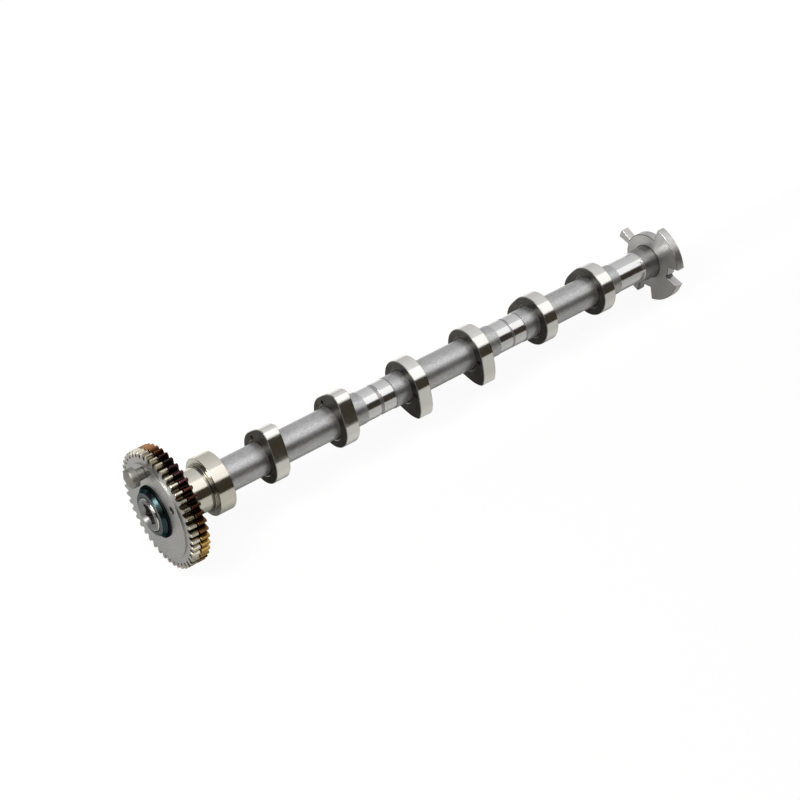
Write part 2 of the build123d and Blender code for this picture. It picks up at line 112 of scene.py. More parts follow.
# locking pin
PIN_AT, PIN_ANGLE = 24.7, 67.5
PIN_HEAD_R, PIN_HEAD_L, PIN_STEM_R, PIN_STEM_L = 6.0, 5.0, 3.6, 5.2
PIN_STEM_FOOT_R, PIN_STEM_FOOT_L, PIN_TIP_R, PIN_TIP_L = 3.3, 0.35, 2.25, 3.8

# sensor wheel
WHEEL_FACE_X, WHEEL_BACK_X, WHEEL_R, WHEEL_ROOT_R = 358.7, 365.0, 28.2, 19.3
VANES = ((11.5, 12.5), (101.5, 64.5), (191.5, 63.0), (281.5, 12.5))  # start, width
VANE_TIP_ROUND, VANE_ROOT_FILLET, VANE_ARC_STEP = 0.3, 0.45, 1.5
VANE_EDGE = ((0.0, 0.55), (0.25, 0.17), (0.5, 0.0))   # from the face, inwards
NOTCH_R, NOTCH_ANGLE = 1.5, 187.5
BOSS_L, BOSS_R, BOSS_TAPER_L, BOSS_END_R, BOSS_FIT = 11.3, 11.2, 4.0, 10.45, 0.02
FACE_GROOVE_LIP_R, FACE_GROOVE_R, FACE_GROOVE_DEPTH = 11.85, 11.6, 0.5

# rear plug
PLUG_SUNK, PLUG_L, PLUG_WALL, PLUG_CUP_DEPTH = 1.5, 5.0, 1.2, 3.8

ON_AXIS = 0.001             # radius at which a turned piece ends on the axis
PAST = 1                    # how far a cutter reaches past the face it cuts

# facets
SIDES, LOBE_BORE_SIDES, PLUG_SIDES, PIN_SIDES = 160, 140, 120, 96
HOLE_SIDES, NOTCH_SIDES, DIMPLE_SIDES = 48, 36, 28
BASE_STEPS, FLANK_STEPS, NOSE_STEPS = 220, 16, 24
SHARP = 30.0                # angle from which an edge is shaded sharp
LOBE_SHARP, PLAIN_SHARP = 25.0, 38.0

# ------------------------------------------------------------------ mesh helpers


def ring_point(x, r, angle):
    return (x, r * math.cos(math.radians(angle)), r * math.sin(math.radians(angle)))


def circle(x, r, count):
    return [ring_point(x, r, 360.0 * i / count) for i in range(count)]


def softened(corners, closed=True, steps=4):
    """Rounds the corners of a 2D outline: (u, v, rounding, slot of the run that follows)."""
    out = []
    n = len(corners)
    for i, (u, v, rounding, slot) in enumerate(corners):
        at_end = not closed and i in (0, n - 1)
        if rounding <= 0 or at_end:
            out.append((u, v, slot))
            continue
        here = Vector((u, v))
        back = Vector(corners[i - 1][:2]) - here
        ahead = Vector(corners[(i + 1) % n][:2]) - here
        reach = min(rounding, 0.45 * back.length, 0.45 * ahead.length)
        a = here + back.normalized() * reach
        b = here + ahead.normalized() * reach
        for k in range(steps + 1):
            t = k / steps
            p = a * (1 - t) ** 2 + here * 2 * t * (1 - t) + b * t * t
            out.append((p.x, p.y, slot))
    return out


class Shell:
    """Closed loops of points in mm, and the walls and flat faces between them."""

    def __init__(self):
        self.points, self.faces, self.slots = [], [], []

    def loop(self, points):
        first = len(self.points)
        self.points += points
        return list(range(first, len(self.points)))

    def wall(self, a, b, slot=0):
        count = len(a)
        for i in range(count):
            j = (i + 1) % count
            self.faces.append((a[i], a[j], b[j], b[i]))
            self.slots.append(slot)

    def band(self, loops, slots):
        """Walls the loops one to the next, each run with its own slot."""
        for a, b, slot in zip(loops, loops[1:], slots):
            self.wall(a, b, slot)

    def turned_walls(self, corners, closed=False, count=SIDES):
        """Walls through (x, r, rounding, slot) corners; returns the first and last loops."""
        stops = softened(corners, closed)
        loops = [self.loop(circle(x, r, count)) for x, r, _ in stops]
        for k in range(len(stops) if closed else len(stops) - 1):
            self.wall(loops[k], loops[(k + 1) % len(stops)], stops[k][2])
        return loops[0], loops[-1]

    def flat(self, outer, inner=(), slot=0):
        """Fills between two loops that lie in one plane across the shaft."""
        rings = [outer, inner] if inner else [outer]
        flat_rings = []
        for ring in rings:
            flat_rings.append([Vector((self.points[i][1], self.points[i][2], 0)) for i in ring])
        index = [i for ring in rings for i in ring]
        for triangle in tessellate_polygon(flat_rings):
            self.faces.append(tuple(index[i] for i in triangle))
            self.slots.append(slot)

    def piece(self, name, materials):
        mesh = bpy.data.meshes.new(name)
        mesh.from_pydata([[c * MM for c in p] for p in self.points], [], self.faces)
        for m in materials:
            mesh.materials.append(m)
        mesh.polygons.foreach_set("material_index", self.slots)
        bm = bmesh.new()
        bm.from_mesh(mesh)
        bmesh.ops.recalc_face_normals(bm, faces=bm.faces)
        bm.to_mesh(mesh)
        bm.free()
        piece = bpy.data.objects.new(name, mesh)
        bpy.context.scene.collection.objects.link(piece)
        return piece


def turned(name, profile, materials, count=SIDES, closed=True):
    """A turned piece about the shaft's axis; the profile's corners are (x, r, rounding, slot)."""
    shell = Shell()
    first, last = shell.turned_walls(profile, closed, count)
    if not closed:
        shell.flat(first, slot=profile[0][3])
        shell.flat(last, slot=profile[-1][3])
    return shell.piece(name, materials)


def cut(piece, shell, name):
    """Takes a solid out of the piece for good; the cut's walls keep the cutter's material."""
    cutter = shell.piece(name, [])
    for m in piece.data.materials:
        cutter.data.materials.append(m)
    tool = piece.modifiers.new("cut", "BOOLEAN")
    tool.operation = "DIFFERENCE"
    tool.solver = "EXACT"
    tool.object = cutter
    bpy.context.view_layer.update()
    graph = bpy.context.evaluated_depsgraph_get()
    done = bpy.data.meshes.new_from_object(piece.evaluated_get(graph))
    piece.modifiers.remove(tool)
    old = piece.data
    piece.data = done
    bpy.data.meshes.remove(old)
    done.name = piece.name
    bpy.data.objects.remove(cutter)


def bar(x0, x1, r, at, angle, slot, count, taper=0.0):
    """A round bar along the shaft as a cutter, narrower by taper at its x1 end."""
    _, y, z = ring_point(0, at, angle)
    shell = Shell()
    a = shell.loop([(x0, y + p[1], z + p[2]) for p in circle(x0, r, count)])
    b = shell.loop([(x1, y + p[1], z + p[2]) for p in circle(x1, r - taper, count)])
    shell.wall(a, b, slot)
    shell.flat(a, slot=slot)
    shell.flat(b, slot=slot)
    return shell


def edge_rows(front, back, edge):
    """(x, inset) rows that break the edges of two faces; the edge is given from the face in."""
    rows = [(front + x, inset) for x, inset in edge]
    return rows + [(back - x, inset) for x, inset in reversed(edge)]


def inward(points):
    """Unit normals into a closed outline that runs anticlockwise."""
    out = []
    for i, p in enumerate(points):
        along = Vector(points[(i + 1) % len(points)]) - Vector(points[i - 1])
        out.append(Vector((-along.y, along.x)).normalized())
    return out


def finished(piece, node, sharp=PLAIN_SHARP):
    """Shades the piece, hangs it on the frame and hides the CAD node it takes the place of."""
    for p in piece.data.polygons:
        p.use_smooth = True
    piece.data.set_sharp_from_angle(angle=math.radians(sharp))
    weigh = piece.modifiers.new("weighted", "WEIGHTED_NORMAL")
    weigh.keep_sharp = True
    weigh.weight = 60
    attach(piece, "root")
    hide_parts(node)
    return piece

# ------------------------------------------------------------------ material helpers


class Paint:
    """A Principled metal with short calls for its nodes.

    The color and roughness it starts with stand in where the nodes aren't read.
    """

    def __init__(self, name, color, roughness, **sockets):
        self.material = bpy.data.materials.new(name)
        self.material.use_nodes = True
        self.tree = self.material.node_tree
        self.shader = self.tree.nodes["Principled BSDF"]
        self.shader.inputs["Base Color"].default_value = (*color, 1)
        self.shader.inputs["Metallic"].default_value = 1.0
        self.shader.inputs["Roughness"].default_value = roughness
        for socket, value in sockets.items():
            self.shader.inputs[socket.replace("_", " ")].default_value = value
        self.where = self.node("ShaderNodeTexCoord").outputs["Object"]

    def node(self, kind, inputs=None, **settings):
        made = self.tree.nodes.new(kind)
        for key, value in settings.items():
            setattr(made, key, value)
        for key, value in (inputs or {}).items():
            self.feed(made.inputs[key], value)
        return made

    def feed(self, socket, value):
        if isinstance(value, bpy.types.NodeSocket):
            self.tree.links.new(value, socket)
        else:
            socket.default_value = value

    def math(self, operation, a, b=0.0, clamp=False):
        made = self.node("ShaderNodeMath", {0: a, 1: b}, operation=operation, use_clamp=clamp)
        return made.outputs[0]

    def weighted(self, first, *others):
        """The sum of (value, weight) pairs."""
        total = self.math("MULTIPLY", *first)
        for value, weight in others:
            total = self.math("ADD", total, self.math("MULTIPLY", value, weight))
        return total

    def stretched(self, x, y, z):
        """Object coordinates scaled along each axis."""
        inputs = {"Vector": self.where, "Scale": (x, y, z)}
        return self.node("ShaderNodeMapping", inputs).outputs[0]

    def noise(self, vector, scale, detail=3.0, rough=0.55):
        inputs = {"Vector": vector, "Scale": scale, "Detail": detail, "Roughness": rough}
        return self.node("ShaderNodeTexNoise", inputs).outputs["Fac"]

    def ramp(self, value, *stops, ease="LINEAR"):
        made = self.node("ShaderNodeValToRGB", {"Fac": value})
        made.color_ramp.interpolation = ease
        elements = made.color_ramp.elements
        while len(elements) < len(stops):
            elements.new(0.5)
        for element, (place, color) in zip(elements, stops):
            element.position = place
            element.color = (*color, 1) if isinstance(color, tuple) else (color, color, color, 1)
        return made.outputs["Color"]

    def patches(self, noise):
        """0 where the noise is low, 1 where it is high."""
        return self.ramp(noise, (0.3, 0.0), (0.75, 1.0))

    def mix(self, amount, a, b):
        made = self.node("ShaderNodeMix", data_type="RGBA")
        for key, value in (("Factor", amount), ("A", a), ("B", b)):
            socket = [s for s in made.inputs if s.name == key and s.enabled][0]
            if isinstance(value, tuple):
                value = (*value, 1)
            self.feed(socket, value)
        return [s for s in made.outputs if s.enabled][0]

    def coordinate(self, axis):
        return self.node("ShaderNodeSeparateXYZ", {0: self.where}).outputs[axis]

    def radius(self):
        """Distance from the shaft's axis."""
        y2 = self.math("MULTIPLY", self.coordinate("Y"), self.coordinate("Y"))
        z2 = self.math("MULTIPLY", self.coordinate("Z"), self.coordinate("Z"))
        return self.math("SQRT", self.math("ADD", y2, z2))

    def turn(self):
        """The angle about the shaft from +Y towards +Z, 0 to 1."""
        angle = self.math("ARCTAN2", self.coordinate("Z"), self.coordinate("Y"))
        turns = self.math("DIVIDE", angle, math.tau)
        return self.math("FRACT", self.math("ADD", turns, 1.0))

    def rings(self, pitch):
        """Noise that changes only with distance from the axis: a turned face."""
        r = self.node("ShaderNodeCombineXYZ", {0: self.radius()}).outputs[0]
        return self.noise(r, 1.0 / (pitch * MM), 2.0)

    def draw_lines(self, scale):
        """Noise drawn out along the shaft."""
        return self.noise(self.stretched(0.05, 1, 1), scale, 2.0)

    def bump(self, height, depth, strength=1.0):
        inputs = {"Height": height, "Distance": depth * MM, "Strength": strength}
        made = self.node("ShaderNodeBump", inputs)
        self.tree.links.new(made.outputs[0], self.shader.inputs["Normal"])
        return self

    def color(self, value):
        self.feed(self.shader.inputs["Base Color"], value)
        return self

    def roughness(self, noise, low, high, full=0.75):
        """Roughness that wanders from low to high with the noise."""
        self.feed(self.shader.inputs["Roughness"], self.ramp(noise, (0.3, low), (full, high)))
        return self

    def brushed(self, amount):
        """Stretches highlights round the axis, as turning does."""
        self.shader.inputs["Anisotropic"].default_value = amount
        self.shader.inputs["Anisotropic Rotation"].default_value = 0.25
        back = self.math("MULTIPLY", self.coordinate("Z"), -1.0)
        around = self.node("ShaderNodeCombineXYZ", {"Y": back, "Z": self.coordinate("Y")})
        self.tree.links.new(around.outputs[0], self.shader.inputs["Tangent"])
        return self


def polished(name, color, roughness, line_depth=0.0015):
    """Polished steel: faint grinding lines round the shaft, and a little uneven polish."""
    p = Paint(name, color, roughness)
    haze = p.patches(p.noise(p.where, 60, 4.0))
    p.color(p.mix(haze, color, tuple(0.93 * c for c in color)))
    p.roughness(p.noise(p.where, 220, 3.0), roughness * 0.8, roughness * 1.35)
    grinding = p.noise(p.stretched(1, 0.02, 0.02), 5200, 2.0)
    return p.bump(grinding, line_depth, 0.35).material


def satin_tube():
    """Drawn and brushed tube: mottled grey, faint draw lines along it and fine pits."""
    p = Paint("satin_tube", (0.52, 0.52, 0.515), 0.36)
    blotch = p.noise(p.where, 95, 5.0, 0.6)
    fleck = p.noise(p.stretched(0.45, 1, 1), 620, 3.0, 0.65)
    grain = p.noise(p.where, 1100, 3.0, 0.6)
    blotched = p.ramp(blotch, (0.3, 0.0), (0.7, 1.0))
    flecked = p.ramp(fleck, (0.42, 0.0), (0.68, 0.33))
    grained = p.ramp(grain, (0.38, 0.0), (0.7, 0.45))
    tone = p.mix(blotched, (0.56, 0.56, 0.555), (0.63, 0.63, 0.625))
    tone = p.mix(flecked, tone, (0.30, 0.30, 0.295))
    p.color(p.mix(grained, tone, (0.27, 0.27, 0.265)))
    p.roughness(p.weighted((blotch, 0.5), (grain, 0.5)), 0.33, 0.46, full=0.7)
    height = p.weighted((p.draw_lines(2600), 0.5), (grain, 1.0), (fleck, 0.8))
    return p.bump(height, 0.011, 0.6).material


def dark_face():
    """Side of a lobe: dark oxide, faint turning rings, dull."""
    p = Paint("lobe_side", (0.08, 0.077, 0.07), 0.34, Specular_Tint=(0.46, 0.46, 0.44, 1))
    cloud = p.patches(p.noise(p.where, 140, 4.0, 0.6))
    p.color(p.mix(cloud, (0.074, 0.072, 0.065), (0.116, 0.112, 0.102)))
    p.roughness(p.noise(p.where, 420, 2.0), 0.28, 0.42, full=0.7)
    return p.bump(p.rings(0.35), 0.02, 0.4).brushed(0.7).material


def root_shaded(p, tone, root):
    """Darkens a toothed surface towards the roots: painted shade in the gaps between the teeth."""
    above_root = p.math("SUBTRACT", p.radius(), ROOT_R * MM)
    depth = p.math("DIVIDE", above_root, (TIP_R - ROOT_R) * MM, True)
    return p.mix(p.ramp(depth, (0.05, 1.0), (0.75, 0.0), ease="EASE"), tone, root)


HEAT_TINT = (  # share of a turn, color: straw, crimson, purple, near black, brown, straw
    (0.00, (0.24, 0.14, 0.06)),
    (0.12, (0.30, 0.17, 0.08)),
    (0.190, (0.36, 0.16, 0.065)),
    (0.215, (0.16, 0.055, 0.025)),
    (0.235, (0.060, 0.018, 0.010)),
    (0.265, (0.046, 0.026, 0.026)),
    (0.300, (0.056, 0.026, 0.028)),
    (0.330, (0.090, 0.028, 0.036)),
    (0.365, (0.090, 0.028, 0.020)),
    (0.400, (0.130, 0.050, 0.026)),
    (0.450, (0.180, 0.080, 0.028)),
    (0.475, (0.250, 0.125, 0.050)),
    (0.500, (0.460, 0.290, 0.090)),
    (0.560, (0.520, 0.330, 0.090)),
    (0.590, (0.420, 0.220, 0.050)),
    (0.620, (0.100, 0.065, 0.035)),
    (0.80, (0.085, 0.055, 0.030)),
    (1.00, (0.24, 0.14, 0.06)),
)


def tinted_gear():
    """Heat tint that runs round the rear gear, spotted, its edges wandering a little."""
    p = Paint("heat_tint", (0.1, 0.05, 0.04), 0.26)
    wander = p.math("SUBTRACT", p.noise(p.where, 45, 3.0), 0.5)
    turn = p.math("ADD", p.turn(), p.math("MULTIPLY", wander, 0.035))
    spots = p.ramp(p.noise(p.where, 700, 3.0), (0.45, 0.0), (0.8, 0.5))
    tint = p.mix(spots, p.ramp(turn, *HEAT_TINT), (0.040, 0.026, 0.020))
    # Towards the roots the heat tint is darkened to painted shade.
    p.color(root_shaded(p, tint, (0.018, 0.010, 0.007)))
    p.roughness(p.noise(p.where, 300, 3.0), 0.20, 0.36)
    return p.bump(p.draw_lines(3000), 0.01, 0.4).material


def gear_nickel():
    """Hobbed and ground teeth: warm, bright, with lines along the tooth."""
    p = Paint("gear_teeth", (0.62, 0.565, 0.45), 0.24)
    cloud = p.patches(p.noise(p.where, 160, 3.0))
    tone = p.mix(cloud, (0.68, 0.625, 0.50), (0.52, 0.475, 0.375))
    # Towards the roots the tooth colour is darkened to painted shade.
    p.color(root_shaded(p, tone, (0.085, 0.065, 0.042)))
    p.roughness(p.noise(p.where, 400, 2.0), 0.20, 0.34)
    return p.bump(p.draw_lines(3400), 0.008, 0.4).material


def turned_plate(name, light, dark, roughness, brush):
    """Matte turned face: fine rings, a little cloudy."""
    p = Paint(name, light, roughness)
    rings = p.rings(0.22)
    tone = p.mix(p.patches(p.noise(p.where, 70, 4.0)), light, dark)
    p.color(p.mix(p.ramp(rings, (0.4, 0.0), (0.75, 0.25)), tone, dark))
    p.roughness(p.noise(p.where, 900, 2.0), roughness * 0.85, roughness * 1.2)
    return p.bump(rings, 0.006, 0.4).brushed(brush).material


def blued(name, color, roughness, worn_at=None):
    """Blued steel: near black, blue green in light, browner in patches, rubbed thin at a rim."""
    p = Paint(name, color, roughness, Specular_Tint=(0.30, 0.36, 0.36, 1))
    cloud = p.ramp(p.noise(p.where, 190, 4.0), (0.42, 0.0), (0.8, 0.8))
    warm = tuple(c * k for c, k in zip(color, (1.5, 0.95, 0.8)))
    tone = p.mix(cloud, color, warm)
    if worn_at:
        worn_w = 0.5
        inside = p.math("SUBTRACT", p.radius(), (worn_at - worn_w) * MM)
        rim = p.math("DIVIDE", inside, worn_w * MM, True)
        patchy = p.ramp(p.noise(p.where, 800, 3.0), (0.35, 0.0), (0.6, 0.8))
        tone = p.mix(p.math("MULTIPLY", rim, patchy), tone, (0.36, 0.38, 0.38))
    p.color(tone)
    p.roughness(p.noise(p.where, 500, 2.0), roughness * 0.8, roughness * 1.3)
    return p.bump(p.rings(0.2), 0.006, 0.4).material


def matte(name, light, dark, roughness, scale=260):
    """Plain dull steel, finely grained."""
    p = Paint(name, light, roughness)
    grain = p.noise(p.where, scale, 4.0, 0.6)
    p.color(p.mix(p.patches(grain), light, dark))
    p.roughness(p.noise(p.where, 2 * scale, 2.0), roughness * 0.85, roughness * 1.2)
    return p.bump(grain, 0.015, 0.5).material


SATIN = satin_tube()
JOURNAL = polished("journal_polish", (0.77, 0.765, 0.752), 0.13)
# Near-black walls of the dimple in each lobe: painted shade in the pit.
PIT_PAINTED_SHADE = matte("pit_painted_shade", (0.022, 0.020, 0.018), (0.012, 0.011, 0.010), 0.55)
# Dark grey of the wheel's face groove and notch: painted shade in these recesses.
GROOVE_PAINTED_SHADE = matte("groove", (0.22, 0.22, 0.21), (0.15, 0.15, 0.145), 0.45)
OIL_GROOVE = polished("oil_groove", (0.41, 0.405, 0.395), 0.30)
BORE = matte("tube_bore", (0.20, 0.195, 0.19), (0.12, 0.115, 0.11), 0.5)
CAM = polished("cam_polish", (0.87, 0.855, 0.80), 0.12)
# Broken edges of the lobes: the cam's steel painted darker, painted shade that keeps the edges from
# shining.
CAM_EDGE_PAINTED_DARK = polished("cam_edge_painted_dark", (0.30, 0.29, 0.265), 0.30)
# Lip of the recess in each lobe's face: painted lighter than the face, a painted highlight line
# round the recess.
LIP_PAINTED_LIGHT = polished("recess_lip_painted_light", (0.50, 0.49, 0.465), 0.30)
LOBE_SIDE = dark_face()
NICKEL = polished("front_polish", (0.77, 0.73, 0.63), 0.12)
# Nose end, its chamfer and the socket's mouth cone: polished steel painted dark, a painted dark
# reflection.
NOSE_FACE_PAINTED_DARK = polished("nose_face_painted_dark", (0.28, 0.28, 0.275), 0.34)
COLLAR_FACE = polished("collar_face", (0.66, 0.63, 0.54), 0.14)
# Step ring before the collar: polished steel painted darker, a painted dark reflection of the gap
# behind the gear.
STEP_PAINTED_DARK = polished("step_ring_painted_dark", (0.35, 0.328, 0.27), 0.22)
FRONT_FACE = turned_plate("front_faces", (0.60, 0.59, 0.56), (0.46, 0.45, 0.43), 0.30, 0.5)
TINT = tinted_gear()
TEETH_METAL = gear_nickel()
PLATE = turned_plate("gear_plate", (0.485, 0.482, 0.462), (0.425, 0.42, 0.405), 0.30, 0.8)
# Body of the rear gear: near black, painted shade of the gap behind the gear that the step ring
# reflects.
GEAR_BACK_SHADE = matte("gear_back_painted_shade", (0.075, 0.058, 0.040), (0.045, 0.034, 0.024), 0.36)
PLATE_EDGE = polished("plate_edge", (0.46, 0.45, 0.42), 0.33, line_depth=0.0004)
BLUED = blued("blued_ring", (0.032, 0.054, 0.058), 0.225)
BLUED_TOP = blued("blued_ring_front", (0.19, 0.225, 0.235), 0.34, worn_at=13.4)
BLUED_WASHER = blued("blued_washer", (0.024, 0.028, 0.032), 0.34)
PIN = matte("pin_turned", (0.315, 0.305, 0.275), (0.25, 0.24, 0.215), 0.48, scale=400)
WHEEL = turned_plate("wheel_face", (0.59, 0.58, 0.56), (0.51, 0.50, 0.48), 0.42, 0.85)
WHEEL_EDGE = matte("wheel_rim", (0.62, 0.61, 0.59), (0.50, 0.49, 0.47), 0.36)
BOSS = polished("wheel_boss", (0.30, 0.295, 0.285), 0.36)
# First strip of the wheel's broken edges and the groove's lip: painted dark, a painted dark
# reflection along the edge.
WHEEL_LINE_PAINTED_DARK = polished("wheel_chamfer_painted_dark", (0.15, 0.147, 0.14), 0.46)
SOCKET = polished("socket", (0.40, 0.39, 0.375), 0.20, line_depth=0.001)
ZINC = matte("plug_steel", (0.48, 0.48, 0.46), (0.36, 0.36, 0.345), 0.38)
SPRING = matte("spring_steel", (0.16, 0.16, 0.165), (0.10, 0.10, 0.105), 0.35)

# ------------------------------------------------------------------ shaft tube


def shaft_tube():
    satin, journal, groove, bore = range(4)
    groove_r, relief_r = JOURNAL_R - OIL_GROOVE_DEPTH, JOURNAL_R - END_RELIEF_DEPTH
    line = [(TUBE_FRONT_X, TUBE_BORE_R, 0, satin), (TUBE_FRONT_X, TUBE_R, 0.15, satin)]
    for middle, half in JOURNALS:
        start, end = middle - JOURNAL_HALF_W, middle + JOURNAL_HALF_W
        relief = groove if half else journal
        line += [(start - JOURNAL_RAMP_W, TUBE_R, 0.1, satin), (start, JOURNAL_R, 0.1, journal)]
        if half:
            line += [
                (middle - half, JOURNAL_R, 0.08, groove),
                (middle - half + OIL_GROOVE_SLOPE_W, groove_r, 0.1, groove),
                (middle + half - OIL_GROOVE_SLOPE_W, groove_r, 0.1, groove),
                (middle + half, JOURNAL_R, 0.08, journal),
            ]
        line += [
            (end - END_RELIEF_W, JOURNAL_R, 0.06, relief),
            (end - END_RELIEF_W + END_RELIEF_SLOPE_W, relief_r, 0.06, relief),
            (end, relief_r, 0.06, relief),
            (end + END_RELIEF_RAMP_W, TUBE_R, 0.1, satin),
        ]
    line += [(TUBE_REAR_X, TUBE_R, 0.2, satin), (TUBE_REAR_X, TUBE_BORE_R, 0.2, bore)]
    piece = turned("tube", line, [SATIN, JOURNAL, OIL_GROOVE, BORE])
    return finished(piece, "shaft_tube")


shaft_tube()

# ------------------------------------------------------------------ cam lobes


def cam_outline(x, nose, inset):
    """The cam's outline at x, moved inwards: base circle, then flank, shoulder, nose and back."""
    reach = BASE_R + LIFT - NOSE_R
    sx = reach - (SHOULDER_R - NOSE_R) * math.cos(NOSE_HALF_ANGLE)
    sy = -(SHOULDER_R - NOSE_R) * math.sin(NOSE_HALF_ANGLE)
    gap = FLANK_R - SHOULDER_R
    adjacent = (sx ** 2 + sy ** 2 + gap ** 2 - (FLANK_R - BASE_R) ** 2) / (2 * gap)
    join = math.acos(adjacent / math.hypot(sx, sy)) - math.atan2(-sy, sx)
    fx, fy = sx - gap * math.cos(join), sy - gap * math.sin(join)
    foot = math.atan2(-fy, -fx)
    arcs = (  # center, radius, first angle, last angle, steps
        (0.0, 0.0, BASE_R, foot, math.tau - foot, BASE_STEPS),
        (fx, -fy, FLANK_R, -foot, -join, FLANK_STEPS),
        (sx, -sy, SHOULDER_R, -join, -NOSE_HALF_ANGLE, FLANK_STEPS),
        (reach, 0.0, NOSE_R, -NOSE_HALF_ANGLE, NOSE_HALF_ANGLE, NOSE_STEPS),
        (sx, sy, SHOULDER_R, NOSE_HALF_ANGLE, join, FLANK_STEPS),
        (fx, fy, FLANK_R, join, foot, FLANK_STEPS),
    )
    turn = Matrix.Rotation(math.radians(nose), 2)
    out = []
    for u, v, r, start, end, steps in arcs:
        for k in range(steps):
            a = start + (end - start) * k / steps
            p = turn @ Vector((u + (r - inset) * math.cos(a), v + (r - inset) * math.sin(a)))
            out.append((x, p.x, p.y))
    return out


def cam_lobe(number, middle, nose):
    cam, edge, side, pit_shade, lip_light = range(5)
    front, back = middle - LOBE_W / 2, middle + LOBE_W / 2
    shell = Shell()
    rows = edge_rows(front, back, LOBE_EDGE)
    loops = [shell.loop(cam_outline(x, nose, inset)) for x, inset in rows]
    # The broken edges take the darker painted shade.
    shell.band(loops, [edge, edge, edge, cam, edge, edge, edge])
    outer, inner = shell.turned_walls([
        # The recess lip takes the painted highlight.
        (front, FACE_STEP_LIP_R, 0, lip_light),
        (front + FACE_STEP_LIP_DEPTH, FACE_STEP_R, 0, side),
        (front + FACE_STEP_DEPTH, FACE_STEP_FOOT_R, 0, side),
        (front + FACE_STEP_DEPTH, TUBE_R, 0, side),
        (back, TUBE_R, 0, side),
    ], count=LOBE_BORE_SIDES)
    shell.flat(loops[0], outer, side)
    shell.flat(loops[-1], inner, side)
    piece = shell.piece(f"lobe_{number}", [CAM, CAM_EDGE_PAINTED_DARK, LOBE_SIDE, PIT_PAINTED_SHADE, LIP_PAINTED_LIGHT])
    # The dimple's walls take the near-black painted shade.
    dimple = bar(front - DIMPLE_START, front + DIMPLE_DEPTH, DIMPLE_R, DIMPLE_AT,
                 nose - DIMPLE_BEFORE_NOSE, pit_shade, DIMPLE_SIDES, DIMPLE_TAPER)
    cut(piece, dimple, "dimple")
    return finished(piece, f"cam_lobe_{number}", LOBE_SHARP)


for number, (middle, nose) in enumerate(zip(LOBE_MIDDLES, LOBE_NOSES), 1):
    cam_lobe(number, middle, nose)

# ------------------------------------------------------------------ front end piece


def front_end_piece():
    polish, face, socket, end, thrust, step_dark = range(6)
    relief_r = HUB_R - HUB_RELIEF_DEPTH
    spigot_end = TUBE_FRONT_X + SPIGOT_L
    line = [
        # Nose end, chamfer and mouth cone take the painted dark reflection.
        (NOSE_END_X, MOUTH_R, 0.12, end),
        (NOSE_END_X, MOUTH_FACE_R, 0.3, end),
        (NOSE_END_X + NOSE_CHAMFER, NOSE_OUT_R, 0.5, polish),
        (SHOULDER_X, NOSE_OUT_R, 0, face),
        (SHOULDER_X, relief_r, 0.1, face),
        (SHOULDER_X + HUB_RELIEF_W, relief_r, 0.15, face),
        (SHOULDER_X + HUB_RELIEF_W + HUB_RELIEF_SLOPE_W, HUB_R, 0.1, polish),
        (-STEP_W - STEP_RELIEF_W, HUB_R, 0.1, face),
        (-STEP_W - STEP_RELIEF_W + HUB_RELIEF_SLOPE_W, relief_r, 0.12, face),
        # The step's wall and land take the painted dark reflection.
        (-STEP_W, relief_r, 0.12, step_dark),
        (-STEP_W, STEP_R, 1.0, step_dark),
        (0.0, STEP_R, 0.12, thrust),
        (0.0, COLLAR_R, 0.5, polish),
        (COLLAR_W, COLLAR_R, 0.5, face),
        (COLLAR_W, COLLAR_RECESS_R, 0.1, face),
        (TUBE_FRONT_X, COLLAR_RECESS_R, 0.1, face),
        (TUBE_FRONT_X, TUBE_BORE_R, 0, face),
        (spigot_end, TUBE_BORE_R, 0.5, face),
        (spigot_end, OIL_BORE_R, 0.2, socket),
        (OIL_BORE_START_X, OIL_BORE_R, 0.1, socket),
        (SOCKET_FOOT_X, SOCKET_FOOT_R, 0.1, socket),
        (MOUTH_FOOT_X, MOUTH_FOOT_R, 0, end),
    ]
    piece = turned("front_end", line, [NICKEL, FRONT_FACE, SOCKET, NOSE_FACE_PAINTED_DARK, COLLAR_FACE, STEP_PAINTED_DARK])
    hexagon = Shell()
    corner_r = HEX_ACROSS_FLATS / math.sqrt(3)
    corners = []
    for k in range(6):
        _, u, v = ring_point(0, corner_r, HEX_FIRST_CORNER + 60 * k)
        corners.append((u, v, HEX_CORNER_ROUND, 0))
    outline = [(u, v) for u, v, _ in softened(corners)]
    a, b = [hexagon.loop([(x, u, v) for u, v in outline]) for x in (NOSE_END_X - PAST, HEX_FLOOR_X)]
    hexagon.wall(a, b, socket)
    hexagon.flat(a, slot=socket)
    hexagon.flat(b, slot=socket)
    cut(piece, hexagon, "hexagon")
    return finished(piece, "front_end_piece", SHARP)


front_end_piece()

# ------------------------------------------------------------------ gears


def tooth_outline():
    """The gear's outline as (u, v) points: involute flanks, rounded tips and root fillets."""
    base = PITCH_R * math.cos(math.radians(PRESSURE_ANGLE))

    def half(r):
        def involute(q):
            a = math.acos(base / q)
            return math.degrees(math.tan(a) - a)
        return 90.0 / TEETH + involute(PITCH_R) - involute(r)

    radii = [ROOT_R + (TIP_R - ROOT_R) * share for share in FLANK_SHARES]
    rounding = (ROOT_FILLET, 0, 0, 0, TIP_ROUND)
    corners = []
    for k in range(TEETH):
        middle = FIRST_TOOTH_ANGLE + 360.0 / TEETH * k
        for side in (-1, 1):
            steps = list(zip(radii, rounding))
            for r, soft in steps if side < 0 else reversed(steps):
                _, u, v = ring_point(0, r, middle + side * half(r))
                corners.append((u, v, soft, 0))
    return [(u, v) for u, v, _ in softened(corners, steps=3)]


OUTLINE = tooth_outline()
NORMALS = inward(OUTLINE)


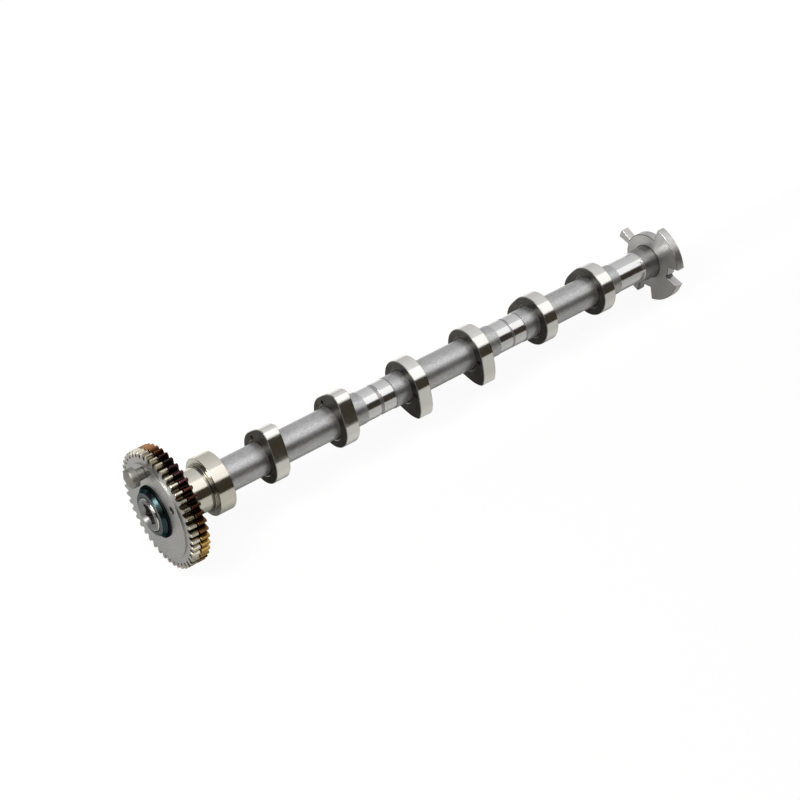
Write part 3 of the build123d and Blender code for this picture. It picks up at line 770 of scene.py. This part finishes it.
def toothed_rim(shell, x0, x1, slot):
    """The toothed surface from x0 to x1, edges broken, tips chamfered; returns its end loops."""
    def row(x, way, share):
        out = []
        for (u, v), normal in zip(OUTLINE, NORMALS):
            at_tip = max(0.0, (math.hypot(u, v) - TIP_R + TIP_BAND) / TIP_BAND)
            size = TOOTH_EDGE_BREAK + TIP_CHAMFER * at_tip
            p = Vector((u, v)) + normal * size * share
            out.append((x + way * size * (1 - share), p.x, p.y))
        return shell.loop(out)

    loops = [row(x0, 1, share) for share in (1.0, 0.35, 0.0)]
    loops += [row(x1, -1, share) for share in (0.0, 0.35, 1.0)]
    shell.band(loops, [slot] * 5)
    return loops[0], loops[-1]


def backlash_gear():
    teeth, plate, edge = range(3)
    shell = Shell()
    front, back = toothed_rim(shell, FRONT_RIM_X, SEAT_X, teeth)
    outer, inner = shell.turned_walls([
        (FRONT_RIM_X, FRONT_RIM_IN_R, 0, plate),
        (FRONT_RIM_X, PLATE_R, 0.12, edge),
        (PLATE_X, PLATE_R, 0.35, edge),
        (PLATE_X, PLATE_R - PLATE_CHAMFER, 0, plate),
        (PLATE_X, CARRIER_R + RUNNING_GAP, 0.15, plate),
        (SEAT_X, CARRIER_R + RUNNING_GAP, 0, plate),
    ])
    shell.flat(front, outer, plate)
    shell.flat(back, inner, plate)
    piece = shell.piece("front_gear", [TEETH_METAL, PLATE, PLATE_EDGE])
    hole_edge = bar(PLATE_X - PAST, PLATE_X + TOOL_HOLE_EDGE_DEPTH, TOOL_HOLE_EDGE_R,
                    TOOL_HOLE_AT, TOOL_HOLE_ANGLE, edge, HOLE_SIDES, TOOL_HOLE_EDGE_TAPER)
    hole = bar(PLATE_X - PAST, SEAT_X + PAST, TOOL_HOLE_R,
               TOOL_HOLE_AT, TOOL_HOLE_ANGLE, edge, HOLE_SIDES)
    cut(piece, hole_edge, "hole_chamfer")
    cut(piece, hole, "tool_hole")
    return finished(piece, "backlash_gear", SHARP)


def main_gear():
    tinted, body = range(2)
    shell = Shell()
    front, back = toothed_rim(shell, MAIN_RIM_X, SHOULDER_X, tinted)
    outer, inner = shell.turned_walls([
        (MAIN_RIM_X, MAIN_RIM_IN_R, 0, body),
        (MAIN_RIM_X, SEAT_R, 0.1, body),
        (SEAT_X + SEAT_GAP, SEAT_R, 0.1, body),
        (SEAT_X + SEAT_GAP, CARRIER_R, 0, body),
        (PLATE_X + END_FLOAT, CARRIER_R, 0.2, body),
        (PLATE_X + END_FLOAT, NOSE_OUT_R, 0.2, body),
        (SHOULDER_X, NOSE_OUT_R, 0, body),
    ])
    shell.flat(front, outer, body)
    shell.flat(back, inner, body)
    # The gear's body takes the near-black painted shade.
    piece = shell.piece("rear_gear", [TINT, GEAR_BACK_SHADE])
    return finished(piece, "main_gear", SHARP)


backlash_gear()
main_gear()

# ------------------------------------------------------------------ washer, ring, locking pin


def washer():
    line = [
        (PLATE_X, WASHER_BORE_R, 0, 0),
        (PLATE_X, WASHER_R, 0.25, 0),
        (RING_BACK_X, WASHER_R, 0.25, 0),
        (RING_BACK_X, WASHER_BORE_R, 0, 0),
    ]
    return finished(turned("washer", line, [BLUED_WASHER]), "friction_washer")


def retaining_ring():
    cone, top = range(2)
    front = RING_BACK_X - RING_T
    line = [
        (RING_BACK_X, NOSE_OUT_R, 0, cone),
        (RING_BACK_X, RING_BASE_R, 0.2, cone),
        (RING_BACK_X - RING_BASE_T, RING_BASE_R, 0.35, cone),
        (front + RING_TOP_CHAMFER_L, RING_TOP_R, 0.3, cone),
        (front, RING_TOP_FACE_R, 0.3, top),
        (front, NOSE_OUT_R + RING_BORE_CHAMFER, 0, cone),
        (front + RING_BORE_CHAMFER_L, NOSE_OUT_R, 0, cone),
    ]
    piece = turned("locking_collar", line, [BLUED, BLUED_TOP])
    return finished(piece, "retaining_ring")


def locking_pin():
    _, y, z = ring_point(0, PIN_AT, PIN_ANGLE)
    head_back = PLATE_X - PIN_STEM_L
    tip = SEAT_X + PIN_TIP_L
    line = [
        (head_back - PIN_HEAD_L, ON_AXIS, 0, 0),
        (head_back - PIN_HEAD_L, PIN_HEAD_R, 2.3, 0),
        (head_back, PIN_HEAD_R, 0.45, 0),
        (head_back, PIN_STEM_R, 0.3, 0),
        (PLATE_X - PIN_STEM_FOOT_L, PIN_STEM_R, 0.3, 0),
        (PLATE_X, PIN_STEM_FOOT_R, 0.1, 0),
        (PLATE_X, PIN_TIP_R, 0, 0),
        (tip, PIN_TIP_R, 0.5, 0),
        (tip, ON_AXIS, 0, 0),
    ]
    piece = turned("pin", line, [PIN], PIN_SIDES, closed=False)
    piece.data.transform(Matrix.Translation((0, y * MM, z * MM)))
    return finished(piece, "locking_pin")


washer()
retaining_ring()
locking_pin()

# ------------------------------------------------------------------ sensor wheel, rear plug


def wheel_outline():
    """The wheel's outline as (u, v) points, its inner corners filleted and outer ones eased."""
    corners = []

    def arc(r, a, b, end_rounding):
        steps = max(2, int(abs(b - a) / VANE_ARC_STEP))
        for k in range(steps + 1):
            _, u, v = ring_point(0, r, a + (b - a) * k / steps)
            corners.append((u, v, end_rounding if k in (0, steps) else 0, 0))

    for k, (start, width) in enumerate(VANES):
        arc(WHEEL_R, start, start + width, VANE_TIP_ROUND)
        following = VANES[(k + 1) % len(VANES)][0] + (360 if k == len(VANES) - 1 else 0)
        arc(WHEEL_ROOT_R, start + width, following, VANE_ROOT_FILLET)
    return [(u, v) for u, v, _ in softened(corners)]


def sensor_wheel():
    face, edge, boss, dark, line = range(5)
    shell = Shell()
    outline = wheel_outline()
    normals = inward(outline)
    loops = []
    for x, inset in edge_rows(WHEEL_FACE_X, WHEEL_BACK_X, VANE_EDGE):
        moved = [Vector(p) + n * inset for p, n in zip(outline, normals)]
        loops.append(shell.loop([(x, p.x, p.y) for p in moved]))
    # The strips next to the faces carry the painted dark line.
    shell.band(loops, [line, edge, edge, edge, line])
    groove = WHEEL_FACE_X + FACE_GROOVE_DEPTH
    start = WHEEL_FACE_X - BOSS_L
    outer, inner = shell.turned_walls([
        (WHEEL_FACE_X, FACE_GROOVE_LIP_R, 0.15, line),
        # The groove's floor takes the dark grey painted shade.
        (groove, FACE_GROOVE_R, 0.1, dark),
        (groove, BOSS_R, 0.1, boss),
        (start + BOSS_TAPER_L, BOSS_R, 1.5, boss),
        (start, BOSS_END_R, 0.1, boss),
        (start, TUBE_R + BOSS_FIT, 0, boss),
        (WHEEL_BACK_X, TUBE_R + BOSS_FIT, 0, boss),
    ])
    shell.flat(loops[0], outer, face)
    shell.flat(loops[-1], inner, face)
    piece = shell.piece("trigger_wheel", [WHEEL, WHEEL_EDGE, BOSS, GROOVE_PAINTED_SHADE, WHEEL_LINE_PAINTED_DARK])
    # The notch's walls take the dark grey painted shade.
    notch = bar(WHEEL_FACE_X - PAST, WHEEL_BACK_X + PAST, NOTCH_R,
                WHEEL_ROOT_R, NOTCH_ANGLE, dark, NOTCH_SIDES)
    cut(piece, notch, "notch")
    return finished(piece, "sensor_wheel", SHARP)


def rear_plug():
    back = TUBE_REAR_X - PLUG_SUNK
    line = [
        (back - PLUG_L, ON_AXIS, 0, 0),
        (back - PLUG_L, TUBE_BORE_R, 0.4, 0),
        (back, TUBE_BORE_R, 0.2, 0),
        (back, TUBE_BORE_R - PLUG_WALL, 0.2, 0),
        (back - PLUG_CUP_DEPTH, TUBE_BORE_R - PLUG_WALL, 0.9, 0),
        (back - PLUG_CUP_DEPTH, ON_AXIS, 0, 0),
    ]
    piece = turned("end_cup", line, [ZINC], PLUG_SIDES, closed=False)
    return finished(piece, "rear_plug")


sensor_wheel()
rear_plug()

for node, material in (("ring_spring", SPRING), ("main_stop_pin", PIN), ("backlash_stop_pin", PIN)):
    mesh = frame["nodes"][node].data
    mesh.materials.clear()
    mesh.materials.append(material)

# ------------------------------------------------------------------ floor, lights, camera

# Places and sizes below are in metres, and tones are linear light.
FLOOR_SIZE, FLOOR_DROP = 12, 0.0002
FLOOR_SHADOW_ACROSS, FLOOR_AHEAD = (-0.12, 0.12), (-0.01, 0.05)    # runs of the two floor tones
FLOOR_FRONT_TONE = (0.50, 0.50, 0.49)
# Floor tones across the shaft, seen mostly in reflections: darker under the shaft and towards -Y,
# lighter towards +Y, a painted shadow of the shaft.
FLOOR_SHADOW_TONES = ((0.25, 0.44), (0.42, 0.57), (0.50, 0.45), (0.57, 0.45), (0.80, 0.86))
FLOOR_BLUE, FLOOR_GLOW, FLOOR_GLOW_SHARE = 0.965, 1.07, 0.86
DARK_CARD = ((-1.6, -0.5, -0.034), (2.4, -0.5, -0.034), (2.4, -0.5, 0.44), (-1.6, -0.5, 0.44))
DARK_CARD_TONE = (0.040, 0.033, 0.024)
DARK_CEILING = ((-1.8, 0.10, 0.9), (-0.06, 0.10, 0.9), (-0.06, 1.8, 0.9), (-1.8, 1.8, 0.9))
DARK_CEILING_TONE = (0.05, 0.05, 0.05)
ROOM_TONES, ROOM_BLUE = ((0.0, 0.58), (0.40, 0.62), (0.80, 0.72), (1.0, 0.92)), 1.02
WHITE = (1, 1, 1)
FOCAL_LENGTH, SENSOR_WIDTH = 76.739, 36.0
SHIFT_X, SHIFT_Y = -0.00025, 0.00056
CLIP_START, CLIP_END = 0.01, 50
CAMERA_AT = (-0.3630, -0.63144, 0.66294)
CAMERA_RIGHT, CAMERA_UP = (0.779189, -0.626785, 0.0), (0.400707, 0.498136, 0.76895)
LIGHTS = (  # name, place, aim, length, width, power
    ("softbox", (0.35, -0.29, 0.73), (0.35, 0.0, 0.0), 3.0, 0.66, 3.0),
    ("front_light", (-1.1, -0.05, 0.51), (-0.03, 0.0, 0.0), 0.26, 0.26, 2.2),
    ("ring_light", (-0.53, -0.02, 0.74), (-0.03, 0.0, 0.0), 0.34, 0.34, 4.5),
)


class Stage:
    """Nodes of a floor, card or world tree."""

    def __init__(self, owner, output="ShaderNodeOutputMaterial"):
        owner.use_nodes = True
        self.tree = owner.node_tree
        self.tree.nodes.clear()
        self.surface = self.node(output).inputs["Surface"]

    def node(self, kind):
        return self.tree.nodes.new(kind)

    def link(self, a, b):
        self.tree.links.new(a, b)

    def glowing(self, kind, color):
        """An emission or background node of one color."""
        made = self.node(kind)
        made.inputs["Color"].default_value = (*color, 1)
        return made

    def coordinates(self, kind):
        where = self.node("ShaderNodeTexCoord")
        parts = self.node("ShaderNodeSeparateXYZ")
        self.link(where.outputs[kind], parts.inputs[0])
        return parts.outputs

    def share(self, value, run):
        """How far value is along the run, 0 to 1."""
        made = self.node("ShaderNodeMapRange")
        made.inputs["From Min"].default_value, made.inputs["From Max"].default_value = run
        self.link(value, made.inputs[0])
        return made.outputs[0]

    def greys(self, value, stops, blue):
        """A ramp of greys, their blue scaled."""
        made = self.node("ShaderNodeValToRGB")
        elements = made.color_ramp.elements
        while len(elements) < len(stops):
            elements.new(0.5)
        for element, (place, level) in zip(elements, stops):
            element.position = place
            element.color = (level, level, level * blue, 1)
        self.link(value, made.inputs[0])
        return made.outputs[0]

    def camera_ray(self):
        return self.node("ShaderNodeLightPath").outputs["Is Camera Ray"]

    def surface_mix(self, amount, a, b):
        mix = self.node("ShaderNodeMixShader")
        for socket, value in zip(mix.inputs, (amount, a, b)):
            self.link(value, socket)
        self.link(mix.outputs[0], self.surface)


def floor():
    """A pale floor that touches the gear and the wheel; near white to the camera, softly shaded,
    its tones holding a painted shadow along the shaft.
    """
    gear_x, wheel_x = FRONT_RIM_X * MM, WHEEL_BACK_X * MM
    lowest_gear, lowest_wheel = -TIP_R * MM, -WHEEL_R * MM
    slope = math.atan2(lowest_wheel - lowest_gear, wheel_x - gear_x)
    bpy.ops.mesh.primitive_plane_add(size=FLOOR_SIZE)
    plane = bpy.context.object
    plane.name = "floor"
    plane.rotation_euler = (0, -slope, 0)
    plane.location = (gear_x, 0, lowest_gear - FLOOR_DROP)
    material = bpy.data.materials.new("floor_white")
    stage = Stage(material)
    parts = stage.coordinates("Object")
    tone = stage.node("ShaderNodeMix")
    tone.data_type = "RGBA"
    factor, front, shadowed_tones = [s for s in tone.inputs if s.enabled]
    front.default_value = (*FLOOR_FRONT_TONE, 1)
    stage.link(stage.share(parts["X"], FLOOR_AHEAD), factor)
    # The tones across the shaft are its painted shadow.
    across_shadow = stage.share(parts["Y"], FLOOR_SHADOW_ACROSS)
    stage.link(stage.greys(across_shadow, FLOOR_SHADOW_TONES, FLOOR_BLUE), shadowed_tones)
    paper = stage.node("ShaderNodeBsdfDiffuse")
    stage.link([s for s in tone.outputs if s.enabled][0], paper.inputs["Color"])
    glow = stage.glowing("ShaderNodeEmission", WHITE)
    glow.inputs["Strength"].default_value = FLOOR_GLOW
    seen = stage.node("ShaderNodeMath")
    seen.operation = "MULTIPLY"
    seen.inputs[1].default_value = FLOOR_GLOW_SHARE
    stage.link(stage.camera_ray(), seen.inputs[0])
    stage.surface_mix(seen.outputs[0], paper.outputs[0], glow.outputs[0])
    plane.data.materials.append(material)


def card(name, corners, tone):
    """A studio card that only reflections see."""
    mesh = bpy.data.meshes.new(name)
    mesh.from_pydata(corners, [], [(0, 1, 2, 3)])
    plane = bpy.data.objects.new(name, mesh)
    bpy.context.scene.collection.objects.link(plane)
    material = bpy.data.materials.new(name)
    stage = Stage(material)
    stage.link(stage.glowing("ShaderNodeEmission", tone).outputs[0], stage.surface)
    mesh.materials.append(material)
    plane.visible_camera = False
    plane.visible_diffuse = False
    plane.visible_shadow = False
    plane.visible_transmission = False


def area(name, place, aim, length, width, power):
    lamp = bpy.data.lights.new(name, "AREA")
    lamp.shape = "RECTANGLE"
    lamp.size, lamp.size_y, lamp.energy = length, width, power
    made = bpy.data.objects.new(name, lamp)
    made.location = place
    made.rotation_euler = (Vector(aim) - Vector(place)).to_track_quat("-Z", "Y").to_euler()
    made.visible_camera = False
    bpy.context.scene.collection.objects.link(made)


def world():
    """Even light, white behind the object; reflections see a grey room, brightest overhead."""
    sky = bpy.data.worlds.new("studio")
    bpy.context.scene.world = sky
    stage = Stage(sky, "ShaderNodeOutputWorld")
    room = stage.node("ShaderNodeBackground")
    up = stage.coordinates("Generated")["Z"]
    stage.link(stage.greys(up, ROOM_TONES, ROOM_BLUE), room.inputs["Color"])
    white = stage.glowing("ShaderNodeBackground", WHITE)
    stage.surface_mix(stage.camera_ray(), room.outputs[0], white.outputs[0])


def camera():
    lens = bpy.data.cameras.new("camera")
    lens.lens, lens.sensor_width, lens.sensor_fit = FOCAL_LENGTH, SENSOR_WIDTH, "HORIZONTAL"
    lens.shift_x, lens.shift_y = SHIFT_X, SHIFT_Y
    lens.clip_start, lens.clip_end = CLIP_START, CLIP_END
    made = bpy.data.objects.new("camera", lens)
    bpy.context.scene.collection.objects.link(made)
    right, up = Vector(CAMERA_RIGHT), Vector(CAMERA_UP)
    turn = Matrix((right, up, right.cross(up))).transposed()
    made.matrix_world = Matrix.Translation(CAMERA_AT) @ turn.to_4x4()
    bpy.context.scene.camera = made


floor()
card("dark_card", DARK_CARD, DARK_CARD_TONE)
card("dark_ceiling", DARK_CEILING, DARK_CEILING_TONE)
for light in LIGHTS:
    area(*light)
world()
camera()
bpy.context.scene.view_settings.view_transform = "Standard"
